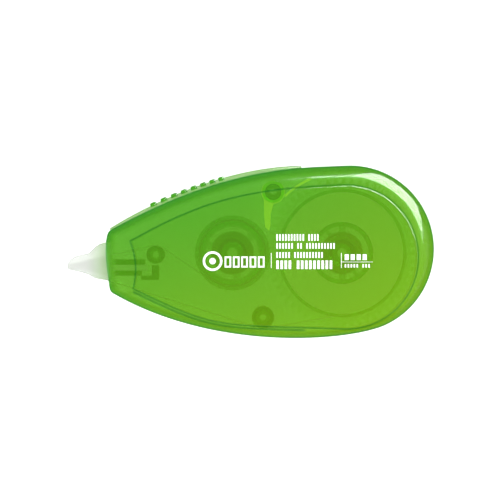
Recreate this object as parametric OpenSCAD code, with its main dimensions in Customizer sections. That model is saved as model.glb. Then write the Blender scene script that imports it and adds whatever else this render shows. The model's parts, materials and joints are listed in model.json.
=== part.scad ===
// Correction tape roller for 5 mm tape. It lies on its rear cover: the nose points to -X, the finger
// ribs face +Y and the front cover faces +Z. The origin is on the supply axle at the rest face.

/* [Case] */
// Thickness of the closed case over its two raised panels
case_t = 14; // [13.8:0.1:15]
// Radius of the round tail
tail_r = 19.6; // [19.5:0.1:20.2]
// Thickness of the side wall
wall = 1; // [0.8:0.1:1.1]
// Thickness of the front and rear faces
face_t = 1.2; // [1:0.1:1.2]
// Rounding along the outer edge of each cover
edge_round = 3; // [2.4:0.1:3]
// Height of the raised panel on each face
panel_rise = 0.3; // [0.2:0.05:0.35]

/* [Finger grip] */
// Thickness of the pale strip along the spine
strip_h = 1; // [0.8:0.1:1.2]
// Width of the strip across the case
strip_w = 6; // [5:0.5:7]
// Height of the ribs that stand through the strip
rib_h = 1.35; // [1.25:0.05:1.6]
// Width of one rib
rib_w = 1.5; // [1.2:0.1:1.6]
// Number of ribs
rib_count = 8; // [6:1:8]

/* [Tape] */
// Width of the correction tape
tape_w = 5; // [4.2:0.1:5]
// Outer radius of the full tape pack
pack_r = 14.3; // [10:0.1:14.4]
// Outer radius of the used carrier on the take-up drum
carrier_r = 8; // [7.7:0.1:8.4]
// Thickness of a free run of tape
tape_t = 0.12; // [0.08:0.02:0.16]

/* [Gears] */
// Gear module
gear_module = 0.6; // [0.59:0.01:0.6]
// Teeth on the drive gear
gear_teeth = 57; // [56:1:57]
// Teeth on the take-up pinion
pinion_teeth = 29; // [28:1:29]
// Thickness of both gears
gear_t = 1.6; // [1.2:0.1:1.6]

/* [Reels and rollers] */
// Outer radius of the supply reel's core
core_r = 7.3; // [6.8:0.1:7.4]
// Outer radius of the take-up drum
drum_r = 7.5; // [7:0.1:7.5]
// Wall of both drums
drum_wall = 1; // [0.8:0.1:1]
// Thickness of the reel flanges
flange_t = 0.5; // [0.4:0.05:0.5]
// Radial gap between a turning piece and its post
run_fit = 0.05; // [0.03:0.01:0.08]

/* [Hidden] */
$fn = 64;
hair = 0.01;
// how far a post or rib is sunk into the face that it stands on
root = 0.6;
seat_gap = 0.03;

// levels, counted up from the rest face
mid_z = case_t / 2;
floor_z = panel_rise + face_t;
ceiling_z = case_t - floor_z;
step_z = floor_z + 0.3;
washer_t = 0.28;
gear_z = step_z + washer_t + 0.06;
tape_z = mid_z - tape_w / 2;
tape_top_z = mid_z + tape_w / 2;
sleeve_top_z = tape_top_z + 0.7;
post_top_z = sleeve_top_z + 0.15;
roller_z = tape_z - 0.1;
roller_h = tape_w + 0.2;

// places in plan
tail_c = [1.9, 0.9];
supply_c = [0, 0];
take_up_c = [-(gear_teeth + pinion_teeth) * gear_module / 2, 0];
nose_c = [-43.8, -0.4];
lower_c = [-18.6, -15.1];
pawl_c = [-16.2, 14.4];
mouth_x = -55;
mouth_back_x = -54.3;

// posts: radius and the bore that takes the front cover's pin
supply_post_r = 2.2;
take_up_post_r = 2.6;
nose_post_r = 1.45;
lower_post_r = 1.7;
pawl_post_r = 1.9;
thick_pin_r = 1.2;
thin_pin_r = 0.8;
nose_roller_r = 2.1;
lower_roller_r = 2.6;
boss_r = 2.6;
sleeve_wall = 0.75;

case_green = "#6cb52c";
strip_green = "#c3dfa9";
clear_tip = "#e8efe4";
white_blade = "#f6f8f4";
gear_green = "#7dc043";
reel_green = "#5fb33a";
tape_white = "#fbfbf8";
carrier_grey = "#d9e0da";
pawl_yellow = "#c4d860";
rubber_grey = "#4d5552";

// ---- plane curves ----
function polar(r, a) = r * [cos(a), sin(a)];

function arc(c, r, a0, a1, n) = [for (i = [0:n]) c + polar(r, a0 + (a1 - a0) * i / n)];

// point at t on the cubic that leaves p at angle pa and reaches q at angle qa
function cubic_at(p, pa, p_pull, q, qa, q_pull, t) =
    pow(1 - t, 3) * p + 3 * pow(1 - t, 2) * t * (p + polar(p_pull, pa))
    + 3 * (1 - t) * t * t * (q - polar(q_pull, qa)) + pow(t, 3) * q;

// the same cubic as points, without its two ends
function cubic(p, pa, p_pull, q, qa, q_pull, n) =
    [for (i = [1:n - 1]) cubic_at(p, pa, p_pull, q, qa, q_pull, i / n)];

// angle of the common normal of two circles that one straight tape touches on its inner side;
// a negative second radius takes the tape across to the far side
function tape_angle(a, ra, b, rb) =
    atan2(b.y - a.y, b.x - a.x) + acos((ra - rb) / norm(b - a));

module ring(r_in, r_out, z, h) {
    translate([0, 0, z]) difference() {
        cylinder(r = r_out, h = h);
        translate([0, 0, -1]) cylinder(r = r_in, h = h + 2);
    }
}

module ring_sector(r_in, r_out, a0, a1, z, h) {
    rotate([0, 0, a0]) translate([0, 0, z])
        rotate_extrude(angle = a1 - a0) translate([r_in, 0]) square([r_out - r_in, h]);
}

module slab(outline, z, h) {
    translate([0, 0, z]) linear_extrude(h) polygon(outline);
}

module at(p) {
    translate([p.x, p.y, 0]) children();
}

// ---- case outline ----
top_steps = 14;
top_start = tail_c + polar(tail_r, 93);
mouth_top = [-54.4, 5.35];
mouth_foot = [-53.8, -9.45];

function spine_at(t) = cubic_at(top_start, 183, 10, mouth_top, 209, 32, t);

case_outline = concat(
    arc(tail_c, tail_r, -65, 93, 16),
    [for (i = [1:top_steps]) spine_at(i / top_steps)],
    cubic(mouth_top, 209, 0.5, [-55.2, 4], 258, 0.5, 2),
    [[-55.2, 4]],
    cubic([-55.2, 4], 258, 4, [-54.6, -8.2], 278, 4, 4),
    [[-54.6, -8.2]],
    cubic([-54.6, -8.2], 278, 0.5, mouth_foot, 330, 0.5, 2),
    [mouth_foot],
    cubic(mouth_foot, -30, 28, tail_c + polar(tail_r, -65), 25, 9, 12));

panel_c = [0.9, -0.9];
panel_r = 16.7;
panel_top = [-49.5, 2.7];
panel_foot = [-48.8, -8.3];

panel_outline = concat(
    arc(panel_c, panel_r, -92, 92, 18),
    cubic(panel_c + polar(panel_r, 92), 182, 25, panel_top, 209, 17, 8),
    [panel_top],
    cubic(panel_top, 291, 4, panel_foot, 256, 4, 4),
    [panel_foot],
    cubic(panel_foot, -26, 22, panel_c + polar(panel_r, -92), -2, 30, 8));

// ---- case ----
slice_t = 0.1;

module case_slice(inset, z) {
    translate([0, 0, z]) linear_extrude(slice_t) offset(delta = -inset) polygon(case_outline);
}

// one half of the case as a solid whose outer edge is rounded, from level z up to level top
module half_blank(inset, z, round, step, top) {
    hull() {
        for (a = [0:step:90])
            case_slice(inset + round * (1 - cos(a)), z + round * (1 - sin(a)));
        case_slice(inset, top - slice_t);
    }
}

// ribs of one cover that grip the tip's stem, and the stop behind it
module half_cradle() {
    h = mid_z - floor_z + root;
    translate([-53.8, -2.75, floor_z - root]) cube([7.4, 1.25, h]);
    translate([-53.4, -5.3, floor_z - root]) cube([6.8, 1.15, h]);
    translate([-44.6, -6.3, floor_z - root]) cube([1.5, 3.4, h]);
    translate([-47.1, -6.3, floor_z - root]) cube([4, 1.1, h]);
}

// one cover's half of every finger rib
rib_t0 = 0.64;
rib_t1 = 0.87;

function rib_t(i) = rib_t0 + (rib_t1 - rib_t0) * i / (rib_count - 1);

function spine_way(t) =
    let (d = spine_at(t + hair) - spine_at(t - hair)) atan2(d.y, d.x);

module at_ribs() {
    for (i = [0:rib_count - 1])
        at(spine_at(rib_t(i))) rotate([0, 0, spine_way(rib_t(i)) + 180]) children();
}

module half_ribs() {
    z0 = mid_z - strip_w / 2 + 0.4;
    at_ribs() translate([-rib_w / 2, -0.4, z0]) cube([rib_w, rib_h + 0.4, mid_z - z0]);
}

module mouth_cut() {
    mouth_w = tape_w + 1.8;
    translate([mouth_x - 3, -7.4, mid_z - mouth_w / 2]) cube([5, 10.4, mouth_w]);
}

// one half of the case without its posts, as one mesh at its own size
module half_shell() {
    inner_round = 0.8;
    resize([0, 0, 0]) difference() {
        union() {
            half_blank(0, panel_rise, edge_round, 30, mid_z);
            slab(panel_outline, 0, panel_rise + 0.4);
            half_ribs();
        }
        half_blank(wall, floor_z, inner_round, 90, mid_z + 1);
        mouth_cut();
    }
}

module post(c, r, z, top) {
    at(c) translate([0, 0, z - root]) cylinder(r = r, h = top - z + root);
}

module post_bore(c, r, top) {
    at(c) translate([0, 0, floor_z]) cylinder(r = r, h = top - floor_z + 1);
}

module rear_cover() color(case_green) difference() {
    union() {
        half_shell();
        half_cradle();
        post(supply_c, 5, floor_z, step_z);
        post(supply_c, supply_post_r, floor_z, post_top_z);
        post(take_up_c, 5, floor_z, step_z);
        post(take_up_c, take_up_post_r, floor_z, post_top_z);
        post(nose_c, nose_roller_r, floor_z, roller_z - 0.1);
        post(nose_c, nose_post_r, floor_z, tape_top_z + 0.15);
        post(lower_c, lower_roller_r, floor_z, roller_z - 0.1);
        post(lower_c, lower_post_r, floor_z, tape_top_z + 0.15);
        post(pawl_c, boss_r, floor_z, gear_z - 0.06);
        post(pawl_c, pawl_post_r, floor_z, mid_z + 2);
        // stop for the pawl's spring tail
        translate([-9.3, 17.75, floor_z - root]) cube([0.9, 1.9, gear_t + root + 0.8]);
    }
    post_bore(supply_c, thick_pin_r, post_top_z);
    post_bore(take_up_c, thick_pin_r, post_top_z);
    post_bore(nose_c, thin_pin_r, tape_top_z);
    post_bore(lower_c, thin_pin_r, tape_top_z);
    post_bore(pawl_c, thin_pin_r, mid_z + 2);
}

// boss of the front cover with the pin that enters a rear post
module front_boss(c, r, pin_r, foot_z) {
    pin_l = 3;
    at(c) translate([0, 0, foot_z]) cylinder(r = r, h = ceiling_z - foot_z + root);
    at(c) translate([0, 0, foot_z - pin_l]) cylinder(r = pin_r - seat_gap, h = pin_l + root);
}

module front_cover() color(case_green) {
    translate([0, 0, case_t]) mirror([0, 0, 1]) {
        half_shell();
        half_cradle();
    }
    front_boss(supply_c, 3.2, thick_pin_r, post_top_z + 0.05);
    front_boss(take_up_c, 3.4, thick_pin_r, post_top_z + 0.05);
    front_boss(nose_c, nose_roller_r, thin_pin_r, tape_top_z + 0.2);
    front_boss(lower_c, lower_roller_r, thin_pin_r, tape_top_z + 0.2);
    front_boss(pawl_c, boss_r, thin_pin_r, mid_z + 2.05);
}

// ---- finger strip ----
strip_i0 = 4;
strip_i1 = 14;

function strip_point(i, off) =
    let (t = i / top_steps) spine_at(t) + polar(off, spine_way(t) - 90);

function strip_rise(i) =
    strip_h * pow(sin(180 * (i - strip_i0 + 0.5) / (strip_i1 - strip_i0 + 1)), 0.4);

strip_outline = concat(
    [for (i = [strip_i0:strip_i1]) strip_point(i, seat_gap)],
    [for (i = [strip_i1:-1:strip_i0]) strip_point(i, strip_rise(i))]);

module spine_strip() color(strip_green) difference() {
    slab(strip_outline, mid_z - strip_w / 2, strip_w);
    slot_z = mid_z - strip_w / 2 + 0.35;
    notch_foot = 0.45;
    at_ribs() {
        translate([-rib_w / 2 - 0.05, -1, slot_z]) cube([rib_w + 0.1, rib_h + 2, strip_w - 0.7]);
        translate([-rib_w / 2 - 0.05, notch_foot, slot_z - 1]) cube([rib_w + 0.1, rib_h + 2, strip_w + 2]);
    }
}

// ---- tip ----
tip_c = [-64, -3.1];
tip_r = 0.36;
neck_top = [-59.6, -0.1];
neck_foot = [-59.7, -4.9];
head_top = [-63.5, -1.3];
head_foot = [-64.4, -3.8];
blade_back_x = -58.5;
cheek_t = 0.6;

cheek_outline = concat(
    [[mouth_back_x, 2.6]],
    cubic([mouth_back_x, 2.6], 182, 3.6, neck_top, 215, 1.6, 8),
    [neck_top],
    cubic(neck_top, 190, 1.6, head_top, 212, 1.2, 5),
    cubic(head_top, 222, 1.3, head_foot, 292, 0.9, 6),
    cubic(head_foot, -18, 1.5, neck_foot, -20, 1.5, 4),
    [neck_foot],
    cubic(neck_foot, -40, 1.6, [mouth_back_x, -6.35], -2, 3, 8),
    [[mouth_back_x, -6.35]]);

// wedge under the tape: its upper and lower sides at x
function wedge_top(x) = tip_c.y + tip_r + 0.2 * (x - tip_c.x);
function wedge_foot(x) = tip_c.y - tip_r - 0.2 * (x - tip_c.x);

module wedge(x0, x1, z, h) {
    slab([[x0, wedge_foot(x0)], [x1, wedge_foot(x1)], [x1, wedge_top(x1)], [x0, wedge_top(x0)]], z, h);
}

module tip_holder() color(clear_tip) {
    slab(cheek_outline, tape_z - cheek_t, cheek_t);
    slab(cheek_outline, tape_top_z, cheek_t);
    wedge(blade_back_x + 0.05, mouth_back_x - 0.2, tape_z - hair, tape_w + 2 * hair);
    translate([mouth_back_x - 1, -4.1, tape_z]) cube([9.5, 1.3, tape_w]);
}

module tip_blade() color(white_blade) {
    blade_z = tape_z + seat_gap;
    blade_w = tape_w - 2 * seat_gap;
    wedge(tip_c.x, blade_back_x, blade_z, blade_w);
    at(tip_c) translate([0, 0, blade_z]) cylinder(r = tip_r, h = blade_w);
}

// ---- gears ----
function involute(a) = tan(a) * 180 / PI - a;

// half of a tooth's angle at radius r
function tooth_half(teeth, r) =
    let (pitch_r = gear_module * teeth / 2, base_r = pitch_r * cos(20), play = 0.08)
    90 / teeth * (1 - play) + involute(20) - involute(acos(min(1, base_r / r)));

function gear_outline(teeth) =
    let (pitch_r = gear_module * teeth / 2, root_r = pitch_r - 1.25 * gear_module,
         tip_r = pitch_r + gear_module, radii = [root_r, pitch_r - gear_module / 2, pitch_r, tip_r])
    [for (i = [0:teeth - 1], side = [-1, 1], k = [0:3])
        let (r = radii[side < 0 ? k : 3 - k])
        polar(r, 360 * i / teeth + side * tooth_half(teeth, r))];

module drive_washer() color(rubber_grey) ring(supply_post_r + run_fit, 5, step_z, washer_t);

module take_up_washer() color(rubber_grey)
    at(take_up_c) ring(take_up_post_r + run_fit, 5, step_z, washer_t);

module drive_gear() color(gear_green) difference() {
    union() {
        slab(gear_outline(gear_teeth), gear_z, gear_t);
        translate([0, 0, gear_z]) cylinder(r = supply_post_r + sleeve_wall, h = sleeve_top_z - gear_z);
    }
    translate([0, 0, gear_z - 1])
        cylinder(r = supply_post_r + run_fit, h = sleeve_top_z - gear_z + 2);
}

// two curved spring arms that rub inside the supply core and let it slip
module clutch_spider() color(reel_green) {
    bore_r = supply_post_r + sleeve_wall + seat_gap;
    arm_z = tape_z + 0.1;
    arm_h = 3.4;
    ring(bore_r, bore_r + 0.7, arm_z, arm_h);
    for (turn = [0, 180]) rotate([0, 0, turn]) {
        ring_sector(bore_r + 0.4, 4.7, 22, 30, arm_z, arm_h);
        ring_sector(4.4, 5, 20, 130, arm_z, arm_h);
        ring_sector(4.7, core_r - drum_wall - run_fit, 120, 128, arm_z, arm_h);
    }
}

// ---- supply side ----
supply_flange_r = pack_r + 0.8;

module supply_reel() color(reel_green) {
    hub_r = supply_post_r + sleeve_wall + run_fit;
    web_z = tape_z + 3.8;
    web_h = 1.2;
    ring(core_r - drum_wall, core_r, tape_z - flange_t, tape_w + 2 * flange_t + 0.05);
    ring(core_r - hair, supply_flange_r, tape_z - flange_t, flange_t);
    ring(hub_r, hub_r + 0.9, web_z, web_h);
    for (turn = [90, 270]) rotate([0, 0, turn])
        translate([hub_r + 0.6, -0.75, web_z]) cube([core_r - drum_wall - hub_r - 0.5, 1.5, web_h]);
}

module supply_tape() color(tape_white)
    ring(core_r + seat_gap, pack_r, tape_z + seat_gap, tape_w - 2 * seat_gap);

module supply_flange() color(reel_green)
    ring(core_r + seat_gap, supply_flange_r, tape_top_z + 0.05, flange_t);

// ---- take-up side ----
take_up_flange_r = carrier_r + 0.8;
drum_bore_r = take_up_post_r + sleeve_wall + seat_gap;

module take_up_pinion() color(gear_green) at(take_up_c) difference() {
    union() {
        rotate([0, 0, gear_teeth % 2 == 1 ? 0 : 180 / pinion_teeth])
            slab(gear_outline(pinion_teeth), gear_z, gear_t);
        translate([0, 0, gear_z]) cylinder(r = take_up_post_r + sleeve_wall, h = sleeve_top_z - gear_z);
    }
    translate([0, 0, gear_z - 1])
        cylinder(r = take_up_post_r + run_fit, h = sleeve_top_z - gear_z + 2);
}

// drum whose front flange has three curved slots between the hub and the wall
module take_up_drum() color(reel_green) at(take_up_c) {
    ring(drum_r - drum_wall, drum_r, tape_z - flange_t, tape_w + flange_t + hair);
    ring(drum_r - hair, take_up_flange_r, tape_z - flange_t, flange_t);
    ring(drum_bore_r, 5, tape_z, tape_w);
    difference() {
        ring(drum_bore_r, take_up_flange_r, tape_top_z - hair, flange_t + hair);
        for (turn = [42, 162, 282])
            ring_sector(5.1, 6.1, turn + 9, turn + 111, tape_top_z - 1, flange_t + 2);
    }
}

module carrier_pack() color(carrier_grey) at(take_up_c)
    ring(drum_r + seat_gap, carrier_r, tape_z + seat_gap, tape_w - 2 * seat_gap);

// ---- free runs of tape ----
// radii of the tape's inner side round each piece that it passes
function near(r) = r + run_fit;

pack_tape_r = near(pack_r);
lower_tape_r = near(lower_roller_r);
nose_tape_r = near(nose_roller_r);
tip_tape_r = tip_r + seat_gap;
drum_tape_r = near(carrier_r) + tape_t;

pack_leave = tape_angle(supply_c, pack_tape_r, lower_c, lower_tape_r);
lower_leave = tape_angle(lower_c, lower_tape_r, tip_c, tip_tape_r);
tip_leave = tape_angle(tip_c, tip_tape_r, nose_c, nose_tape_r);
nose_leave = tape_angle(nose_c, nose_tape_r, take_up_c, -drum_tape_r);

function feed_path(out) = concat(
    [supply_c + polar(pack_tape_r + out, pack_leave)],
    arc(lower_c, lower_tape_r + out, pack_leave, lower_leave - 360, 6),
    arc(tip_c, tip_tape_r + out, lower_leave, 200, 6));

function return_path(out) = concat(
    arc(tip_c, tip_tape_r + out, 190, tip_leave, 6),
    arc(nose_c, nose_tape_r + out, tip_leave, nose_leave, 6),
    [take_up_c - polar(drum_tape_r - out, nose_leave)]);

function backwards(path) = [for (i = [len(path) - 1:-1:0]) path[i]];

module tape_feed_run() color(tape_white)
    slab(concat(feed_path(0), backwards(feed_path(tape_t))), tape_z + 0.1, tape_w - 0.2);

module carrier_return_run() color(carrier_grey)
    slab(concat(return_path(0), backwards(return_path(tape_t))), tape_z + 0.1, tape_w - 0.2);

// ---- guide rollers ----
module nose_roller() color(reel_green)
    at(nose_c) ring(nose_post_r + run_fit, nose_roller_r, roller_z, roller_h);

module lower_roller() color(reel_green)
    at(lower_c) ring(lower_post_r + run_fit, lower_roller_r, roller_z, roller_h);

// ---- ratchet pawl ----
// lever whose hook stops the drive gear from turning back; its thin tail is the spring
module ratchet_pawl() color(pawl_yellow) {
    eye_r = 2.75;
    gear_tip_r = gear_module * (gear_teeth / 2 + 1);
    hook = polar(gear_tip_r + 0.25, 163);
    difference() {
        union() {
            at(pawl_c) translate([0, 0, gear_z]) cylinder(r = eye_r, h = gear_t);
            slab([pawl_c + [-2.2, -1.2], pawl_c + [-2.1, -5.6], hook + [-0.9, 0.9], hook,
                  hook + [0.35, 1.3], pawl_c + [-0.6, -5.2], pawl_c + [0.3, -2.2]], gear_z, gear_t);
            ring_sector(gear_tip_r + 1, gear_tip_r + 1.5, 113, 135, gear_z, gear_t);
        }
        at(pawl_c) translate([0, 0, gear_z - 1]) cylinder(r = pawl_post_r + run_fit, h = gear_t + 2);
    }
}

rear_cover();
front_cover();
spine_strip();
tip_holder();
tip_blade();
drive_washer();
drive_gear();
clutch_spider();
supply_reel();
supply_tape();
supply_flange();
take_up_washer();
take_up_pinion();
take_up_drum();
carrier_pack();
tape_feed_run();
carrier_return_run();
nose_roller();
lower_roller();
ratchet_pawl();
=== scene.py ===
import json
import math

import bpy
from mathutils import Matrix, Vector


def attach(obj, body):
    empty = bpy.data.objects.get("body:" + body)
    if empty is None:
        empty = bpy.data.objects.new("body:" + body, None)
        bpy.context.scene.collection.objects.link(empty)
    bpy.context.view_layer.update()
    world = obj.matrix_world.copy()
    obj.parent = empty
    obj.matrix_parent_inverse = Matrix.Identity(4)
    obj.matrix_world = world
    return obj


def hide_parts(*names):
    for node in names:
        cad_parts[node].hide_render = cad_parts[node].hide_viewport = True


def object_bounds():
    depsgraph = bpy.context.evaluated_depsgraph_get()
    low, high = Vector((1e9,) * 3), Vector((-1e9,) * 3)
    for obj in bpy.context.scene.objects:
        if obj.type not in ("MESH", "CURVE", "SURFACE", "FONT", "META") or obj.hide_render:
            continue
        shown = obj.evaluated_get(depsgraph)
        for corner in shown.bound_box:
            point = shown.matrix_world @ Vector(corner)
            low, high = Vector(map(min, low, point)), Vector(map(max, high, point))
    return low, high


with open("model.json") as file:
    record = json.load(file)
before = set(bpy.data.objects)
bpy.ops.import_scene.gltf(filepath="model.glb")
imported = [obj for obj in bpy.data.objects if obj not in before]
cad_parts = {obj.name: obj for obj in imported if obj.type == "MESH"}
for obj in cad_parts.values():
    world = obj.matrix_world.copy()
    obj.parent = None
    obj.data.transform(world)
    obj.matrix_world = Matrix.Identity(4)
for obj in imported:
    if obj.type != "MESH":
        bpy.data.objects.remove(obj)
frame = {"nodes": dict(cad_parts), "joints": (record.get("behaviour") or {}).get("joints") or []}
cad_low, cad_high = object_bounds()

# ---- Camera, floor and lights ----
# The corrector lies on a white table and is looked at from straight above, nose to the left.
# A tall soft box stands beyond the tail's upper corner, a dim one beside it, and a wide fill opposite.
MM = 0.001
scene = bpy.context.scene
scene.view_settings.view_transform = "Standard"
scene.cycles.transparent_max_bounces = 40
scene.cycles.max_bounces = 16
pivot = {joint["name"]: Vector(joint["pos_m"]) for joint in frame["joints"]}
mid_z = (cad_low.z + cad_high.z) / 2
shown_width = 117.65 * MM
camera_height = 1.2
camera_data = bpy.data.cameras.new("camera")
camera_data.sensor_width = 36
camera_data.lens = camera_data.sensor_width * (camera_height - mid_z) / shown_width
camera_data.clip_start = 0.05
camera = bpy.data.objects.new("camera", camera_data)
camera.location = (-21.65 * MM, 0.7 * MM, camera_height)
scene.collection.objects.link(camera)
scene.camera = camera


def linear(hex_colour, alpha=1.0):
    parts = [int(hex_colour[i:i + 2], 16) / 255 for i in (1, 3, 5)]
    return (*[p / 12.92 if p <= 0.04045 else ((p + 0.055) / 1.055) ** 2.4 for p in parts], alpha)


def add(tree, kind, inputs=None, **settings):
    new = tree.nodes.new(kind)
    for name, value in settings.items():
        setattr(new, name, value)
    for name, value in (inputs or {}).items():
        if isinstance(value, bpy.types.NodeSocket):
            tree.links.new(value, new.inputs[name])
        else:
            new.inputs[name].default_value = value
    return new


def blank_material(name):
    material = bpy.data.materials.new(name)
    material.use_nodes = True
    material.node_tree.nodes.clear()
    return material, material.node_tree


def wear(piece, material):
    piece.data.materials.clear()
    piece.data.materials.append(material)


# painted table top: matt white with a faint mottle that only keeps it from looking like paper
table_white, tree = blank_material("matt white table")
place = add(tree, "ShaderNodeTexCoord").outputs["Object"]
mottle = add(tree, "ShaderNodeTexNoise", {"Vector": place, "Scale": 40.0})
tone = add(tree, "ShaderNodeMapRange", {"Value": mottle.outputs["Fac"], "To Min": 0.9, "To Max": 0.94})
paint = add(tree, "ShaderNodeBsdfDiffuse", {"Color": tone.outputs["Result"]})
glow = add(tree, "ShaderNodeEmission", {"Color": (1, 1, 1, 1), "Strength": 0.6})
both = add(tree, "ShaderNodeAddShader", {0: paint.outputs[0], 1: glow.outputs[0]})
add(tree, "ShaderNodeOutputMaterial", {"Surface": both.outputs[0]})
bpy.ops.object.select_all(action="DESELECT")
bpy.ops.mesh.primitive_plane_add(size=6, location=(0, 0, cad_low.z))
table = bpy.context.object
table.name = "table"
wear(table, table_white)

world = bpy.data.worlds.new("studio")
world.use_nodes = True
sky = add(world.node_tree, "ShaderNodeTexCoord").outputs["Generated"]
height = add(world.node_tree, "ShaderNodeSeparateXYZ", {"Vector": sky}).outputs["Z"]
dim_top = add(world.node_tree, "ShaderNodeMapRange", {
    "Value": height, "From Min": 0.7, "From Max": 0.95, "To Min": 1.15, "To Max": 0.3})
background = world.node_tree.nodes["Background"]
background.inputs["Color"].default_value = (1, 1, 1, 1)
world.node_tree.links.new(dim_top.outputs["Result"], background.inputs["Strength"])
world.cycles_visibility.glossy = False
table.visible_glossy = False
scene.world = world


def soft_box(name, azimuth, elevation, distance, width, height, power):
    data = bpy.data.lights.new(name, "AREA")
    data.shape = "RECTANGLE"
    data.size = width
    data.size_y = height
    data.energy = power
    box = bpy.data.objects.new(name, data)
    a, e = math.radians(azimuth), math.radians(elevation)
    away = Vector((math.cos(e) * math.cos(a), math.cos(e) * math.sin(a), math.sin(e)))
    box.location = away * distance
    box.rotation_euler = away.to_track_quat("Z", "Y").to_euler()
    scene.collection.objects.link(box)


soft_box("tall_box", 51, 38, 0.35, 0.29, 0.46, 11.0)
bpy.data.objects["tall_box"].visible_diffuse = False
soft_box("side_box", -15, 30, 0.5, 0.6, 0.3, 0.5)
soft_box("fill_box", 215, 50, 0.7, 0.9, 0.7, 1.5)
bpy.data.objects["fill_box"].visible_glossy = False

# ---- Case covers ----
# Two injection-moulded halves in clear green polystyrene, drop-shaped and rounded along the edge, each
# with a raised panel, hollow posts and the cradle ribs for the tip. The posts' pins hold them together.
# The plastic is tinted right through, so thick posts and walls seen edge-on look darker.
def tinted_plastic(name, dark, light, deep, face_on, edge_on, shine=(0.09, 0.17), painted_inner_glow=0.3):
    """Clear tinted plastic: fine haze in its colour, denser and deeper where a surface is seen edge-on.

    The tint drifts from dark at the upper edge to light at the lower end of the tail.
    The inner light is a painted glow: emission in the tint's colour that stands in for light scattered inside.
    """
    material, tree = blank_material(name)
    place = add(tree, "ShaderNodeTexCoord").outputs["Object"]
    # the tint wanders over some 20 mm; the polish is uneven over 1.5 mm, far coarser than real, so it shows
    flow = add(tree, "ShaderNodeTexNoise", {"Vector": place, "Scale": 45.0, "Detail": 1.0})
    across = add(tree, "ShaderNodeVectorMath", {0: place, 1: (0.4, -1.0, 0.0)}, operation="DOT_PRODUCT")
    drift = add(tree, "ShaderNodeMapRange", {
        "Value": across.outputs["Value"], "From Min": -0.028, "From Max": 0.024})
    blend = add(tree, "ShaderNodeMix", {"Factor": 0.8, "A": flow.outputs["Fac"], "B": drift.outputs["Result"]})
    even = add(tree, "ShaderNodeMix", {"Factor": blend.outputs["Result"], "A": linear(dark), "B": linear(light)},
               data_type="RGBA")
    facing = add(tree, "ShaderNodeLayerWeight", {"Blend": 0.5})
    tint = add(tree, "ShaderNodeMix", {"Factor": facing.outputs["Facing"], "A": even.outputs["Result"],
                                       "B": linear(deep)}, data_type="RGBA")
    polish = add(tree, "ShaderNodeTexNoise", {"Vector": place, "Scale": 700.0, "Detail": 2.0})
    gloss = add(tree, "ShaderNodeMapRange", {"Value": polish.outputs["Fac"], "To Min": shine[0], "To Max": shine[1]})
    ripple = add(tree, "ShaderNodeBump", {"Height": polish.outputs["Fac"], "Strength": 0.03, "Distance": 0.0001})
    haze = add(tree, "ShaderNodeBsdfPrincipled", {
        "Base Color": tint.outputs["Result"], "Roughness": gloss.outputs["Result"], "IOR": 1.59,
        "Normal": ripple.outputs["Normal"]})
    # painted glow: the plastic emits light in its tint's colour, though it is no lamp
    glow = add(tree, "ShaderNodeEmission", {"Color": tint.outputs["Result"], "Strength": painted_inner_glow})
    lit_haze = add(tree, "ShaderNodeAddShader", {0: haze.outputs[0], 1: glow.outputs[0]})
    clear = add(tree, "ShaderNodeBsdfTransparent", {"Color": (0.97, 1, 0.95, 1)})
    share = add(tree, "ShaderNodeMapRange", {"Value": facing.outputs["Facing"], "To Min": face_on, "To Max": edge_on})
    surface = add(tree, "ShaderNodeMixShader", {
        0: share.outputs["Result"], 1: clear.outputs[0], 2: lit_haze.outputs[0]})
    output = add(tree, "ShaderNodeOutputMaterial", {"Surface": surface.outputs[0]})
    return material, tree, output


# clear green polystyrene, gloss moulded: the colour deepens with the thickness looked through
# the case also gets the default painted inner glow
case_plastic, tree, output = tinted_plastic(
    "clear green polystyrene, gloss moulded", "#55a92c", "#a0bb14", "#087a34", 0.36, 0.95)
depth_tint = add(tree, "ShaderNodeVolumeAbsorption", {"Color": (0.42, 0.9, 0.15, 1), "Density": 700.0})
tree.links.new(depth_tint.outputs[0], output.inputs["Volume"])


def polar(radius, degrees):
    return Vector((radius * math.cos(math.radians(degrees)), radius * math.sin(math.radians(degrees))))


def arc(centre, radius, start, end, steps):
    return [Vector(centre) + polar(radius, start + (end - start) * i / steps) for i in range(steps + 1)]


def cubic(start, start_way, start_pull, end, end_way, end_pull, steps):
    """Points from start up to, but not including, end."""
    a, d = Vector(start), Vector(end)
    b, c = a + polar(start_pull, start_way), d - polar(end_pull, end_way)
    ts = [i / steps for i in range(steps)]
    return [a * (1 - t) ** 3 + b * 3 * (1 - t) ** 2 * t + c * 3 * (1 - t) * t * t + d * t ** 3 for t in ts]


tail_c = Vector((1.9, 0.9))
tail_r = 19.6
spine = (tail_c + polar(tail_r, 93), 183, 10, (-54.4, 5.35), 209, 32)
case_outline = (
    arc(tail_c, tail_r, -65, 93, 72)[:-1] + cubic(*spine, 72)
    + cubic((-54.4, 5.35), 209, 0.5, (-55.2, 4), 258, 0.5, 6)
    + cubic((-55.2, 4), 258, 4, (-54.6, -8.2), 278, 4, 24)
    + cubic((-54.6, -8.2), 278, 0.5, (-53.8, -9.45), 330, 0.5, 6)
    + cubic((-53.8, -9.45), -30, 28, tail_c + polar(tail_r, -65), 25, 9, 60))
panel_c = Vector((0.9, -0.9))
panel_r = 16.7
panel_edge = (
    arc(panel_c, panel_r, -92, 92, 90)[:-1]
    + cubic(panel_c + polar(panel_r, 92), 182, 25, (-49.5, 2.7), 209, 17, 90)
    + cubic((-49.5, 2.7), 291, 4, (-48.8, -8.3), 256, 4, 24)
    + cubic((-48.8, -8.3), -26, 22, panel_c + polar(panel_r, -92), -2, 30, 90))


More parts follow.
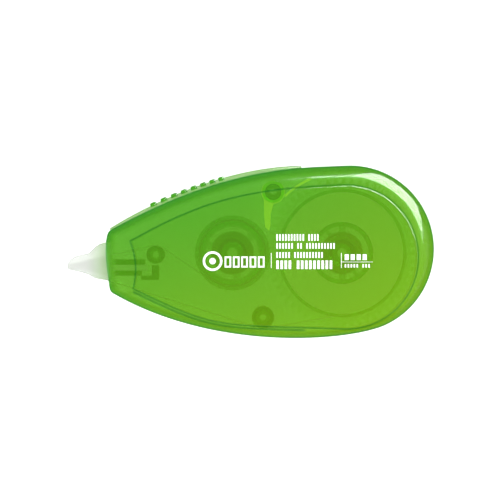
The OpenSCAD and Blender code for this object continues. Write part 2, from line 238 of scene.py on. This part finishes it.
def nearest_on(edge, point):
    """The point of a closed outline that lies nearest to another point."""
    best = None
    for a, b in zip(edge, edge[1:] + edge[:1]):
        share = max(0.0, min(1.0, (point - a).dot(b - a) / max((b - a).length_squared, 1e-12)))
        spot = a.lerp(b, share)
        if best is None or (spot - point).length_squared < (best - point).length_squared:
            best = spot
    return best


panel_outline = [nearest_on(panel_edge, point) for point in case_outline]

wall = 1.0
half_t = 7.0
face_h = 6.7
edge_round = 3.0
ceiling_h = 5.5


def toward_panel(inset, spare=0.0):
    """The case outline moved this far towards the panel's outline, but stopping spare mm short of it."""
    return [o + (n - o).normalized() * min(inset, (n - o).length - spare)
            for o, n in zip(case_outline, panel_outline)]


def out_of_panel(gap):
    return [n + (o - n).normalized() * min(gap, (o - n).length) for o, n in zip(case_outline, panel_outline)]


def blended(outline_a, outline_b, share):
    return [a.lerp(b, share) for a, b in zip(outline_a, outline_b)]


def lofted(name, rings):
    """A closed skin through rings of points, flat at both ends: each ring is (outline in mm, z in mm)."""
    around = len(rings[0][0])
    bpy.ops.object.select_all(action="DESELECT")
    bpy.ops.mesh.primitive_grid_add(x_subdivisions=around, y_subdivisions=len(rings) - 1, size=1)
    piece = bpy.context.object
    piece.name = name
    points = [(p.x * MM, p.y * MM, z * MM) for outline, z in rings for p in outline + outline[:1]]
    for vertex, point in zip(piece.data.vertices, points):
        vertex.co = point
    bpy.ops.object.mode_set(mode="EDIT")
    bpy.ops.mesh.select_all(action="SELECT")
    bpy.ops.mesh.remove_doubles(threshold=1e-7)
    bpy.ops.mesh.fill_holes(sides=0)
    bpy.ops.mesh.normals_make_consistent(inside=False)
    bpy.ops.object.mode_set(mode="OBJECT")
    return piece


def block(low, high, soften=0.0):
    """A box between two corners in mm, with its edges rounded."""
    low, high = Vector(low) * MM, Vector(high) * MM
    bpy.ops.object.select_all(action="DESELECT")
    bpy.ops.mesh.primitive_cube_add(size=1, location=(low + high) / 2, scale=high - low)
    bpy.ops.object.transform_apply(location=True, rotation=True, scale=True)
    if soften:
        bpy.ops.object.mode_set(mode="EDIT")
        bpy.ops.mesh.select_all(action="SELECT")
        bpy.ops.mesh.bevel(offset=soften * MM, segments=3)
        bpy.ops.object.mode_set(mode="OBJECT")
    return bpy.context.object


def rod(centre, radius, low, high, soften=0.0):
    """A round post between two heights in mm, with its end edges rounded."""
    place = (centre.x, centre.y, (low + high) / 2 * MM)
    bpy.ops.object.select_all(action="DESELECT")
    bpy.ops.mesh.primitive_cylinder_add(vertices=48, radius=radius * MM, depth=(high - low) * MM, location=place)
    bpy.ops.object.transform_apply(location=True)
    if soften:
        rim = bpy.context.object.modifiers.new("rim", "BEVEL")
        rim.width = soften * MM
        rim.segments = 2
        bpy.ops.object.modifier_apply(modifier=rim.name)
    return bpy.context.object


def together(pieces):
    bpy.ops.object.select_all(action="DESELECT")
    for piece in pieces:
        piece.select_set(True)
    bpy.context.view_layer.objects.active = pieces[0]
    bpy.ops.object.join()
    return pieces[0]


def combine(piece, tool, operation, folded=False):
    """Adds the tool's shape to a piece or cuts it out, and throws the tool away.

    folded is for a piece whose skin touches itself where the bevel runs out.
    """
    change = piece.modifiers.new("change", "BOOLEAN")
    change.operation = operation
    change.object = tool
    change.solver = "EXACT"
    change.use_self = folded
    bpy.context.view_layer.objects.active = piece
    bpy.ops.object.modifier_apply(modifier=change.name)
    bpy.data.objects.remove(tool)


def hand_over(piece, material, body, nodes=(), angle=35):
    """Smooths a finished piece, gives it its material and puts it on its body."""
    bpy.ops.object.select_all(action="DESELECT")
    piece.select_set(True)
    bpy.context.view_layer.objects.active = piece
    bpy.ops.object.shade_smooth_by_angle(angle=math.radians(angle))
    wear(piece, material)
    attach(piece, body)
    if nodes:
        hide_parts(*nodes)


def half_case(name, level):
    """One cover's shell; level turns a height above the parting plane into z in mm."""
    inner_flat = toward_panel(edge_round + 0.4)
    inner_wall = toward_panel(wall)
    bulge = [90 - 15 * i for i in range(7)]
    middle = [panel_c] * len(panel_outline)
    rings = [(blended(inner_flat, middle, 0.02), level(ceiling_h))]
    rings += [(blended(inner_wall, inner_flat, 1 - math.cos(math.radians(a))),
               level(ceiling_h - 1.8 + 1.8 * math.sin(math.radians(a)))) for a in bulge]
    rings += [(inner_wall, level(0.01)), (toward_panel(0.1), level(0.01)), (toward_panel(0), level(0.12))]
    round_end = toward_panel(edge_round + 0.2, spare=0.4)
    rings += [(blended(toward_panel(0), round_end, 1 - math.cos(math.radians(a))),
               level(face_h - edge_round + edge_round * math.sin(math.radians(a)))) for a in range(0, 91, 9)]
    rings += [(out_of_panel(0.38), level(face_h)), (out_of_panel(0.2), level(face_h - 0.45)),
              (out_of_panel(0.0), level(face_h + 0.2)),
              (blended(panel_outline, middle, 0.006), level(half_t - 0.03)),
              (blended(panel_outline, middle, 0.02), level(half_t - 0.03))]
    return lofted(name, rings)


def spine_point(t):
    a, d = spine[0], Vector(spine[3])
    b, c = a + polar(spine[2], spine[1]), d - polar(spine[5], spine[4])
    return a * (1 - t) ** 3 + b * 3 * (1 - t) ** 2 * t + c * 3 * (1 - t) * t * t + d * t ** 3


def spine_frame(t):
    """Point on the spine, and the ways along it towards the tail and out of the case."""
    along = (spine_point(t - 0.01) - spine_point(t + 0.01)).normalized()
    return spine_point(t), along, Vector((-along.y, along.x))


rib_count = 8
rib_w = 1.5
rib_h = 1.35
rib_places = [0.64 + (0.87 - 0.64) * i / (rib_count - 1) for i in range(rib_count)]


def rib_bars(low, high, width, top, foot=-0.4, soften=0.35):
    """The row of finger ribs between two heights, set square to the spine."""
    bars = []
    for t in rib_places:
        p, along, _ = spine_frame(t)
        bar = block((-width / 2, foot, low), (width / 2, top, high), soften)
        bar.rotation_euler.z = math.atan2(along.y, along.x)
        bar.location = (p.x * MM, p.y * MM, 0)
        bpy.ops.object.transform_apply(location=True, rotation=True)
        bars.append(bar)
    return together(bars)


# the five posts, at the pivots of what turns on them, in metres
supply_c = pivot["supply_reel_spin"]
take_up_c = pivot["take_up_spin"]
nose_c = pivot["nose_roller_spin"]
lower_c = pivot["lower_roller_spin"]
pawl_c = pivot["pawl_swing"]


def cradle(low, high):
    """The two ribs and the corner that hold the tip's stem, standing on a cover's floor."""
    corner = block((-44.6, -6.3, low), (-43.1, -2.9, high))
    combine(corner, block((-47.1, -6.3, low), (-44.5, -5.35, high)), "UNION")
    return [block((-53.8, -2.75, low), (-46.4, -1.5, high)),
            block((-53.4, -5.3, low), (-47.2, -4.15, high)), corner]


def edge_groove():
    """The fine V groove beside the panel's lower edge, as the shape that is cut away."""
    span = [i for i, (inner, outer) in enumerate(zip(panel_outline, case_outline))
            if -48.7 < inner.x < -8 and inner.y < -8 and outer.y < inner.y - 0.5]

    def band(inner, outer):
        return [out_of_panel(inner)[i] for i in span] + [out_of_panel(outer)[i] for i in reversed(span)]

    return lofted("edge_groove", [(band(0.79, 0.81), 12.95), (band(0.35, 1.25), 14.1)])


mouth_low, mouth_high = (-58, -7.4, 3.6), (-53, 3.0, 10.4)
rear_root, front_root = 1, 13  # posts and ribs start this deep in the panels' walls
rear_edge, front_edge = 6.98, 7.02  # the parting faces, a hair apart
reel_stem, roller_stem, pawl_stem = 10.35, 9.65, 9  # tops of the rear posts

front = half_case("front_cover_shell", lambda h: half_t + h)
posts = [rod(centre, radius, foot, front_root, 0.1) for centre, radius, foot in (
    (supply_c, 3.2, 10.4), (take_up_c, 3.4, 10.4), (nose_c, 2.1, 9.7), (lower_c, 2.6, 9.7), (pawl_c, 2.6, 9.05))]
combine(front, together(posts + cradle(front_edge, front_root)), "UNION")
combine(front, rib_bars(front_edge, 9.6, rib_w, rib_h), "UNION")
combine(front, edge_groove(), "DIFFERENCE", folded=True)
bores = [rod(centre, radius, 7, 12.3) for centre, radius in (
    (supply_c, 1.2), (take_up_c, 1.2), (nose_c, 0.9), (lower_c, 0.8), (pawl_c, 0.8))]
combine(front, together(bores), "DIFFERENCE")
combine(front, block(mouth_low, mouth_high, 0.6), "DIFFERENCE")
hand_over(front, case_plastic, "case", ["front_cover"])

rear = half_case("rear_cover_shell", lambda h: half_t - h)
posts = [rod(centre, radius, rear_root, top) for centre, radius, top in (
    (supply_c, 5, 1.8), (take_up_c, 5, 1.8), (nose_c, 2.1, 4.3), (lower_c, 2.6, 4.3), (pawl_c, 2.6, 2.08))]
stems = [rod(centre, radius, rear_root, top, soften) for centre, radius, top, soften in (
    (supply_c, 2.2, reel_stem, 0.15), (take_up_c, 2.6, reel_stem, 0.15), (nose_c, 1.45, roller_stem, 0.1),
    (lower_c, 1.7, roller_stem, 0.1), (pawl_c, 1.9, pawl_stem, 0.1))]
spring_stop = block((-9.3, 17.75, rear_root), (-8.4, 19.6, 3.9))
combine(rear, together(posts + cradle(rear_root, rear_edge)), "UNION")
combine(rear, together(stems + [spring_stop]), "UNION")
combine(rear, rib_bars(4.4, rear_edge, rib_w, rib_h), "UNION")
bores = [rod(centre, radius, 1.9, 12) for centre, radius in (
    (supply_c, 1.2), (take_up_c, 1.2), (nose_c, 0.8), (lower_c, 0.8), (pawl_c, 0.8))]
combine(rear, together(bores), "DIFFERENCE")
combine(rear, block(mouth_low, mouth_high, 0.6), "DIFFERENCE")
hand_over(rear, case_plastic, "case", ["rear_cover"])

# ---- Finger strip ----
# A pale green strip moulded separately and set on the spine, between the two covers.
# Its slots let the covers' finger ribs stand through it.
# pale polypropylene: cloudier than the case and nearly opaque
# the strip gets the default painted inner glow
strip_plastic = tinted_plastic(
    "pale green polypropylene strip", "#92c070", "#a4ca88", "#5c9a40", 0.7, 0.95)[0]
strip_low, strip_high = 4.0, 10.0
strip_rise = 1.0
strip_ends = (4 / 14, 1.0)
strip_steps = 72


def strip_ring(drop):
    """The strip's outline with its crown lowered by drop mm."""
    foot, crown = [], []
    for i in range(strip_steps + 1):
        share = i / strip_steps
        p, along, out = spine_frame(strip_ends[0] + (strip_ends[1] - strip_ends[0]) * share)
        rise = strip_rise * math.sin(math.pi * (share * 10 + 0.5) / 11) ** 0.4
        foot.append(p + out * 0.06)
        crown.append(p + out * max(0.12, rise - 0.02 - drop))
    return foot + crown[::-1]


strip = lofted("finger_strip", [(strip_ring(0.35), strip_low), (strip_ring(0.1), strip_low + 0.1),
                                (strip_ring(0), strip_low + 0.35), (strip_ring(0), strip_high - 0.35),
                                (strip_ring(0.1), strip_high - 0.1), (strip_ring(0.35), strip_high)])
combine(strip, rib_bars(4.35, 9.65, rib_w + 0.1, 2, foot=-1, soften=0), "DIFFERENCE")
combine(strip, rib_bars(3.5, 10.5, rib_w + 0.1, 2, foot=0.45, soften=0), "DIFFERENCE")
hand_over(strip, strip_plastic, "case", ["spine_strip"])

# ---- Tip ----
# The holder is moulded in one piece in frosted clear plastic: two cheeks beside the tape, a wedge between
# them and a stem gripped by the cradle ribs. A milky blade at its end presses the tape on the paper.
# frosted acetal: see-through face on, grey at its edges, with a painted green tint near the case that stands in for
# light from the case entering it.
# The frosting's grain is about 1 mm, drawn far coarser than the real one so it shows.
frosted, tree = blank_material("frosted clear acetal, tip holder")
place = add(tree, "ShaderNodeTexCoord").outputs["Object"]
split = add(tree, "ShaderNodeSeparateXYZ", {"Vector": place})
# painted light: the holder is tinted green towards the case
near_case = add(tree, "ShaderNodeMapRange", {
    "Value": split.outputs["X"], "From Min": -0.0605, "From Max": -0.0545}, interpolation_type="SMOOTHSTEP")
grain = add(tree, "ShaderNodeTexNoise", {"Vector": place, "Scale": 900.0, "Detail": 3.0})
facing = add(tree, "ShaderNodeLayerWeight", {"Blend": 0.5})
even = add(tree, "ShaderNodeMix", {"Factor": near_case.outputs["Result"], "A": linear("#f4f6f2"),
                                   "B": linear("#c8e2b2")}, data_type="RGBA")
cast = add(tree, "ShaderNodeMix", {"Factor": facing.outputs["Facing"], "A": even.outputs["Result"],
                                   "B": linear("#7f8a80")}, data_type="RGBA")
frost = add(tree, "ShaderNodeMapRange", {"Value": grain.outputs["Fac"], "To Min": 0.25, "To Max": 0.4})
ripple = add(tree, "ShaderNodeBump", {"Height": grain.outputs["Fac"], "Strength": 0.05, "Distance": 0.0001})
haze = add(tree, "ShaderNodeBsdfPrincipled", {
    "Base Color": cast.outputs["Result"], "Roughness": frost.outputs["Result"], "IOR": 1.48,
    "Normal": ripple.outputs["Normal"]})
# painted glow: the holder emits a little light to brighten it, though it is no lamp
glow = add(tree, "ShaderNodeEmission", {"Color": cast.outputs["Result"], "Strength": 0.3})
lit_haze = add(tree, "ShaderNodeAddShader", {0: haze.outputs[0], 1: glow.outputs[0]})
clear = add(tree, "ShaderNodeBsdfTransparent", {"Color": (0.86, 0.87, 0.86, 1)})
share = add(tree, "ShaderNodeMapRange", {"Value": facing.outputs["Facing"], "To Min": 0.35, "To Max": 0.9})
surface = add(tree, "ShaderNodeMixShader", {
    0: share.outputs["Result"], 1: clear.outputs[0], 2: lit_haze.outputs[0]})
add(tree, "ShaderNodeOutputMaterial", {"Surface": surface.outputs[0]})

tip_c = Vector((-64, -3.1))
tip_r = 0.36
tape_low, tape_high = 4.5, 9.5
cheek_t = 0.6
cheek_edge = (
    cubic((-54.3, 2.6), 182, 3.6, (-59.6, -0.1), 215, 1.6, 20)
    + cubic((-59.6, -0.1), 190, 1.6, (-63.5, -1.3), 212, 1.2, 14)
    + cubic((-63.5, -1.3), 222, 1.3, (-64.4, -3.8), 292, 0.9, 14)
    + cubic((-64.4, -3.8), -18, 1.5, (-59.7, -4.9), -20, 1.5, 12)
    + cubic((-59.7, -4.9), -40, 1.6, (-54.3, -6.35), -2, 3, 20) + [Vector((-54.3, -6.35))])


def pulled_in(edge, amount):
    """An outline moved inwards by amount mm, keeping its points."""
    turned = []
    for before, here, after in zip(edge[-1:] + edge[:-1], edge, edge[1:] + edge[:1]):
        way = (after - before).normalized()
        turned.append(here + Vector((-way.y, way.x)) * amount)
    return turned


def cheek(name, low):
    high = low + cheek_t
    return lofted(name, [(pulled_in(cheek_edge, 0.28), low), (pulled_in(cheek_edge, 0.08), low + 0.08),
                         (cheek_edge, low + 0.26), (cheek_edge, high - 0.26),
                         (pulled_in(cheek_edge, 0.08), high - 0.08), (pulled_in(cheek_edge, 0.28), high)])


def wedge(name, back_x, front_x, low, high):
    """The tapering body under the tape, between two places along the tip."""
    def half(x):
        return tip_r + 0.2 * (x - tip_c.x)
    edge = [Vector((back_x, tip_c.y - half(back_x))), Vector((front_x, tip_c.y - half(front_x))),
            Vector((front_x, tip_c.y + half(front_x))), Vector((back_x, tip_c.y + half(back_x)))]
    return lofted(name, [(edge, low), (edge, high)])


holder = together([cheek("tip_holder_cheeks", 3.9), cheek("cheek", 9.5)])
body = wedge("body", -54.5, -58.45, tape_low + 0.02, tape_high - 0.02)
stem = block((-55.3, -4.1, tape_low + 0.02), (-45.8, -2.8, tape_high - 0.02), 0.2)
combine(body, stem, "UNION")
holder = together([holder, body])
hand_over(holder, frosted, "case", ["tip_holder"], angle=40)

# milky acetal blade: whiter than the holder, with a rounded pressing edge
milky, tree = blank_material("milky white acetal blade")
place = add(tree, "ShaderNodeTexCoord").outputs["Object"]
grain = add(tree, "ShaderNodeTexNoise", {"Vector": place, "Scale": 600.0, "Detail": 2.0})
tone = add(tree, "ShaderNodeMix", {"Factor": grain.outputs["Fac"], "A": linear("#f3f4f0"), "B": linear("#fbfbf8")},
           data_type="RGBA")
sheen = add(tree, "ShaderNodeMapRange", {"Value": grain.outputs["Fac"], "To Min": 0.3, "To Max": 0.42})
paint = add(tree, "ShaderNodeBsdfPrincipled", {
    "Base Color": tone.outputs["Result"], "Roughness": sheen.outputs["Result"], "IOR": 1.48})
add(tree, "ShaderNodeOutputMaterial", {"Surface": paint.outputs[0]})
nose_edge = [tip_c + polar(tip_r, 101 + 15.8 * i) for i in range(11)]
blade_edge = [Vector((-58.55, tip_c.y + tip_r + 0.2 * (-58.55 - tip_c.x)))] + nose_edge + [
    Vector((-58.55, tip_c.y - tip_r - 0.2 * (-58.55 - tip_c.x)))]
blade = lofted("tip_blade_milky", [(blade_edge, tape_low + 0.07), (blade_edge, tape_high - 0.07)])
hand_over(blade, milky, "case", ["tip_blade"], angle=30)

# ---- Print ----
# White pad-printed ink on the front panel: a plain roll sign, then bars where a maker's words would go.
# The ink is a thin layer standing on the panel, so it has almost no height.
# satin ink: dense white, with grain of a third of a millimetre from the pad
ink, tree = blank_material("white pad-printing ink, satin")
place = add(tree, "ShaderNodeTexCoord").outputs["Object"]
grain = add(tree, "ShaderNodeTexNoise", {"Vector": place, "Scale": 3000.0, "Detail": 2.0})
tone = add(tree, "ShaderNodeMix", {"Factor": grain.outputs["Fac"], "A": linear("#f6f8f3"), "B": linear("#ffffff")},
           data_type="RGBA")
paint = add(tree, "ShaderNodeBsdfPrincipled", {"Base Color": tone.outputs["Result"], "Roughness": 0.45})
# painted glow: the ink emits a little light so it stays bright white, though it is no lamp
glow = add(tree, "ShaderNodeEmission", {"Color": tone.outputs["Result"], "Strength": 0.25})
both = add(tree, "ShaderNodeAddShader", {0: paint.outputs[0], 1: glow.outputs[0]})
add(tree, "ShaderNodeOutputMaterial", {"Surface": both.outputs[0]})
ink_low, ink_high = 13.96, 13.995


def ink_bar(x0, y0, x1, y1):
    return block((x0, y0, ink_low), (x1, y1, ink_high))


def ink_words(x0, foot, top, words, stroke, gap):
    """A row of upright bars in groups: each word is a number of bars."""
    bars, x = [], x0
    for word in words:
        for i in range(word):
            bars.append(ink_bar(x, foot, x + stroke, top))
            x += stroke + gap
        x += stroke + gap
    return bars


bars = [ink_bar(-16.75, -3.5, -16.6, 0.0), ink_bar(-0.35, -3.5, -0.2, 0.0), ink_bar(-0.25, -2.15, 7.05, -2.05)]
for row in ((-15.5, 2.85, 4.4, [10, 4], 0.38, 0.3), (-15.5, 1.0, 2.3, [6, 2, 10], 0.38, 0.32),
            (-15.5, -1.15, 0.2, [5, 10], 0.38, 0.32), (-15.5, -3.75, -1.75, [4, 9], 0.6, 0.36),
            (0.5, -1.65, -0.3, [4], 0.95, 0.45), (0.5, -3.4, -2.6, [5, 3], 0.36, 0.33)):
    bars += ink_words(*row)
for x in (-27.6, -25.65, -23.7, -21.75, -19.8):
    bars += [ink_bar(x, -3.4, x + 0.4, -0.8), ink_bar(x + 1.15, -3.4, x + 1.55, -0.8),
             ink_bar(x + 0.4, -1.2, x + 1.15, -0.8), ink_bar(x + 0.4, -3.4, x + 1.15, -3.0)]
roll_c = Vector((-30.4, -1.9))
ring_edge = [polar(2.3, 6 * i) for i in range(60)]
roll = lofted("print", [([p + roll_c for p in ring_edge], ink_low), ([p + roll_c for p in ring_edge], ink_high)])
combine(roll, rod(roll_c * MM, 1.75, 13, 15), "DIFFERENCE")
hub = rod(roll_c * MM, 0.75, ink_low, ink_high)
roll = together([roll, hub] + bars)
roll.name = "panel_print"
hand_over(roll, ink, "case")

# ---- Gears and washers ----
# Two spur gears in translucent green acetal sit lowest: the large one under the supply reel turns the
# small one under the take-up drum. Each runs on a thin pale rubber washer.
# acetal, tinted lightly and duller than the case, so the gears hardly show through the cover
# the gears get the default painted inner glow
gear_plastic = tinted_plastic(
    "translucent green acetal gear", "#62ac1a", "#70b416", "#3c9a20", 0.08, 0.25, (0.25, 0.35))[0]
for node in ("drive_gear", "take_up_pinion"):
    wear(frame["nodes"][node], gear_plastic)

# silicone rubber: dull and even, with a fine mottle of just under 1 mm
rubber, tree = blank_material("pale green silicone rubber washer")
place = add(tree, "ShaderNodeTexCoord").outputs["Object"]
grain = add(tree, "ShaderNodeTexNoise", {"Vector": place, "Scale": 1200.0, "Detail": 4.0})
tone = add(tree, "ShaderNodeMix", {"Factor": grain.outputs["Fac"], "A": linear("#7fae6c"), "B": linear("#8fba7c")},
           data_type="RGBA")
paint = add(tree, "ShaderNodeBsdfPrincipled", {"Base Color": tone.outputs["Result"], "Roughness": 0.8})
add(tree, "ShaderNodeOutputMaterial", {"Surface": paint.outputs[0]})
for node in ("drive_washer", "take_up_washer"):
    wear(frame["nodes"][node], rubber)

# ---- Reels and rollers ----
# The supply core with its two flanges, the slipping clutch, the take-up drum and the two guide rollers
# are moulded in the same translucent green, a shade deeper than the case.
# polystyrene, more deeply tinted than the case: rings and posts read as darker green
# the last argument, 0.2, is the strength of the reels' painted inner glow
reel_plastic, tree, output = tinted_plastic(
    "translucent green polystyrene reel", "#25a038", "#30a83a", "#0c8438", 0.22, 0.9, (0.15, 0.25), 0.2)
depth_tint = add(tree, "ShaderNodeVolumeAbsorption", {"Color": (0.02, 0.9, 0.4, 1), "Density": 380.0})
tree.links.new(depth_tint.outputs[0], output.inputs["Volume"])
for node in ("supply_reel", "supply_flange", "take_up_drum", "clutch_spider", "nose_roller", "lower_roller"):
    wear(frame["nodes"][node], reel_plastic)

# ---- Tape ----
# White correction film on a thin paper carrier. Wound up, the turns show as fine rings on the pack's side.
# The turns are 0.06 mm apart and are drawn about 0.35 mm apart so they show.
tape, tree = blank_material("white correction film, wound")
place = add(tree, "ShaderNodeTexCoord").outputs["Object"]
turns = add(tree, "ShaderNodeTexWave", {"Vector": place, "Scale": 900.0, "Distortion": 0.6, "Detail": 1.0},
            wave_type="RINGS", rings_direction="Z")
tone = add(tree, "ShaderNodeMix", {"Factor": turns.outputs["Fac"], "A": linear("#e6ebe0"), "B": linear("#f2f5ee")},
           data_type="RGBA")
paint = add(tree, "ShaderNodeBsdfPrincipled", {
    "Base Color": tone.outputs["Result"], "Roughness": 0.9, "Specular IOR Level": 0.1})
# painted glow: a warm yellowish emission brightens the wound film shaded inside the case; it is no lamp
glow = add(tree, "ShaderNodeEmission", {"Color": linear("#fff0a0"), "Strength": 0.42})
both = add(tree, "ShaderNodeAddShader", {0: paint.outputs[0], 1: glow.outputs[0]})
add(tree, "ShaderNodeOutputMaterial", {"Surface": both.outputs[0]})
wear(frame["nodes"]["supply_tape"], tape)

# coated paper: greyer and smoother than the film, with fibre flecks of about 0.7 mm
carrier, tree = blank_material("silicone-coated carrier paper")
place = add(tree, "ShaderNodeTexCoord").outputs["Object"]
fibre = add(tree, "ShaderNodeTexNoise", {"Vector": place, "Scale": 1500.0, "Detail": 5.0})
tone = add(tree, "ShaderNodeMix", {"Factor": fibre.outputs["Fac"], "A": linear("#cdd6c0"), "B": linear("#dde4d2")},
           data_type="RGBA")
paint = add(tree, "ShaderNodeBsdfPrincipled", {"Base Color": tone.outputs["Result"], "Roughness": 0.5})
add(tree, "ShaderNodeOutputMaterial", {"Surface": paint.outputs[0]})
for node in ("carrier_pack", "carrier_return_run", "tape_feed_run"):
    wear(frame["nodes"][node], carrier)

# ---- Pawl ----
# A small yellow-green acetal lever, moulded with its thin spring tail and set on the upper post.
# It springs against the teeth, so the gears turn one way only.
# acetal with a strong yellow-green dye, brightened by a painted glow: it emits light where the case shades it, though
# it is no lamp
pawl_plastic, tree = blank_material("yellow-green acetal pawl")
place = add(tree, "ShaderNodeTexCoord").outputs["Object"]
grain = add(tree, "ShaderNodeTexNoise", {"Vector": place, "Scale": 500.0, "Detail": 2.0})
tone = add(tree, "ShaderNodeMix", {"Factor": grain.outputs["Fac"], "A": linear("#c9dc5a"), "B": linear("#d6e66a")},
           data_type="RGBA")
paint = add(tree, "ShaderNodeBsdfPrincipled", {"Base Color": tone.outputs["Result"], "Roughness": 0.35})
# painted glow standing in for light that the case keeps off the pawl
glow = add(tree, "ShaderNodeEmission", {"Color": tone.outputs["Result"], "Strength": 0.7})
both = add(tree, "ShaderNodeAddShader", {0: paint.outputs[0], 1: glow.outputs[0]})
add(tree, "ShaderNodeOutputMaterial", {"Surface": both.outputs[0]})
wear(frame["nodes"]["ratchet_pawl"], pawl_plastic)
